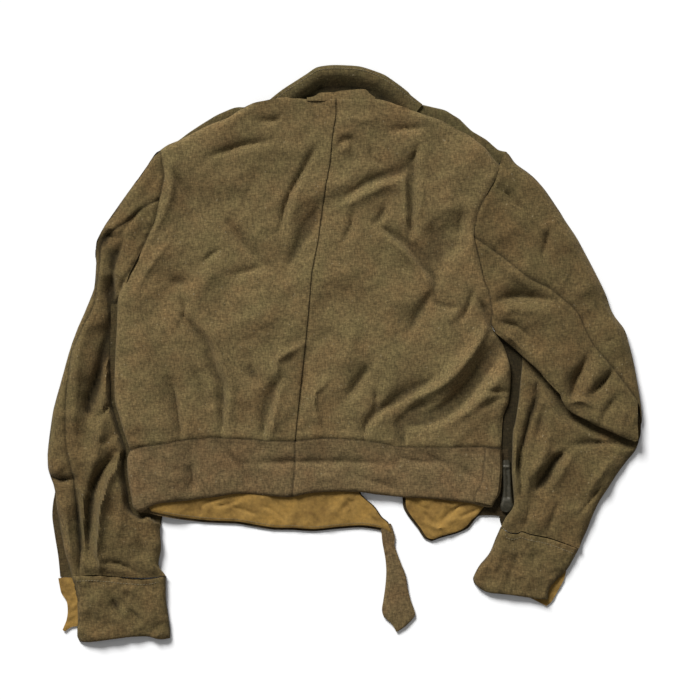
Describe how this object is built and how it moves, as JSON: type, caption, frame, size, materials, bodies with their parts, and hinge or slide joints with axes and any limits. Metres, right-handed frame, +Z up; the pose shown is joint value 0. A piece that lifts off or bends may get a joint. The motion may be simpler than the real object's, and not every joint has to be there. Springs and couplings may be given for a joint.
{
  "type": "battledress jacket",
  "caption": "Waist-length wool battledress jacket laid flat on its front, back side up, with long sleeves, cuffs, waistband, belt strap and buckle.",
  "frame": {"origin": "centre of the bounding box at the level the jacket lies on", "axes": "+X across the jacket to the right as its back is seen from above, +Y from hem to collar, +Z up from the surface it lies on"},
  "size_m": [0.7409, 0.7208, 0.0186],
  "materials": {
    "wool": "felted heathered khaki wool serge, matt",
    "cotton_drill": "tan cotton drill lining, matt",
    "buckle_paint": "dark grey-green paint, worn"
  },
  "bodies": {
    "root": {"back_left": "wool", "back_right": "wool", "front_left": "wool", "front_right": "wool", "waistband_back_left": "wool", "waistband_back_right": "wool", "waistband_front_left": "wool", "waistband_front_right": "wool", "collar": "wool", "collar_stand": "wool", "shoulder_strap_left": "wool", "shoulder_strap_right": "wool", "sleeve_left_top": "wool", "sleeve_left_under": "wool", "sleeve_right_top": "wool", "sleeve_right_under": "wool", "cuff_left": "wool", "cuff_right": "wool", "belt_strap": "wool", "buckle_tab": "wool", "band_lining_left": "cotton_drill", "band_lining_right": "cotton_drill", "cuff_lining_left": "cotton_drill", "cuff_lining_right": "cotton_drill", "buckle": "buckle_paint"}
  },
  "joints": []
}
